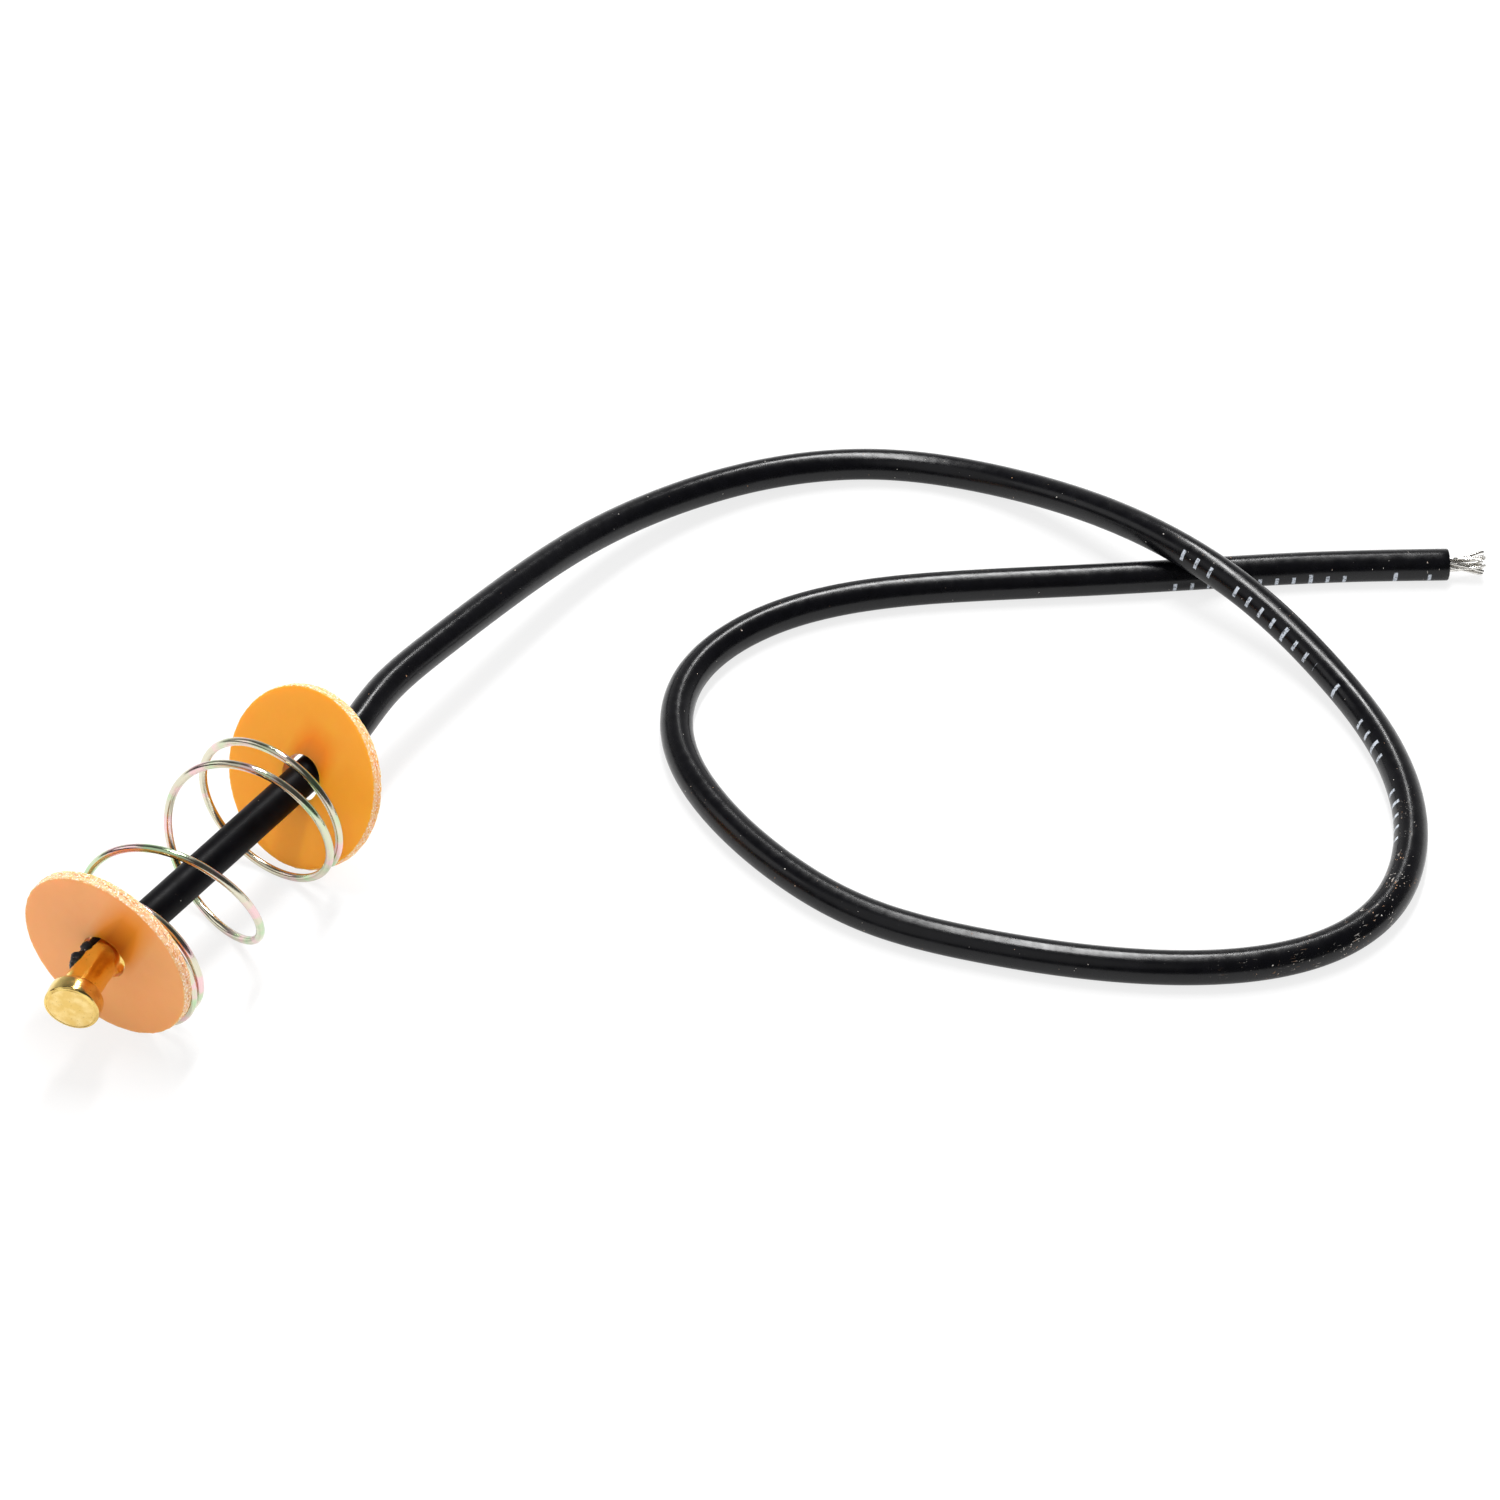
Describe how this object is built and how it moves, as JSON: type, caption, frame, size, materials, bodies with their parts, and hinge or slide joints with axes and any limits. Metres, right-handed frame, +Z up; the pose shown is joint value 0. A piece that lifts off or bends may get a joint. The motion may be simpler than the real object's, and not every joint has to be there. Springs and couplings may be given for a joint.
{
  "type": "sprung lamp socket contact lead",
  "caption": "Round brass contact crimped on a flexible insulated lead, with insulating washers and a coil spring that push it against a lamp base.",
  "frame": {"origin": "on the surface that it lies on, under the middle of the contact, the washers and the spring", "axes": "+X along the straight stretch of lead, away from the contact's head; +Z up, away from the surface"},
  "size_m": [0.1164, 0.0862, 0.0152],
  "materials": {
    "brass": "bright, rolled and crimped sheet with a worn contact face",
    "fibre_pale": "satin resin-bonded fibre sheet, peach orange, with a pale cut rim",
    "fibre_bright": "satin resin-bonded fibre sheet, bright orange, with a pale cut rim",
    "zinc_spring": "zinc-plated spring wire with a yellow passivation that shimmers green and pink",
    "insulation": "smooth glossy flexible vinyl",
    "tinned_wire": "bright tinned copper strands"
  },
  "bodies": {
    "lead": {"contact": "brass", "lead_stem": "insulation", "core_stem": "tinned_wire", "lead_tail": "insulation", "core_tail": "tinned_wire", "strand_01": "tinned_wire", "strand_02": "tinned_wire", "strand_03": "tinned_wire", "strand_04": "tinned_wire", "strand_05": "tinned_wire", "strand_06": "tinned_wire", "strand_07": "tinned_wire", "strand_08": "tinned_wire", "strand_09": "tinned_wire", "strand_10": "tinned_wire", "strand_11": "tinned_wire", "strand_12": "tinned_wire", "strand_13": "tinned_wire", "strand_14": "tinned_wire", "strand_15": "tinned_wire", "strand_16": "tinned_wire"},
    "front_slider": {"front_washer": "fibre_pale", "spring": "zinc_spring"},
    "rear_slider": {"rear_washer": "fibre_bright"}
  },
  "joints": [
    {"name": "front_washer_slide", "type": "slide", "parent": "lead", "child": "front_slider", "axis": [-0.9703, -0.2419, 0], "range_m": [0, 0.0037]},
    {"name": "rear_washer_slide", "type": "slide", "parent": "lead", "child": "rear_slider", "axis": [-1, 0, 0], "range_m": [0, 0.014], "stiffness_N_per_m": 380, "deforming": ["spring"]}
  ]
}
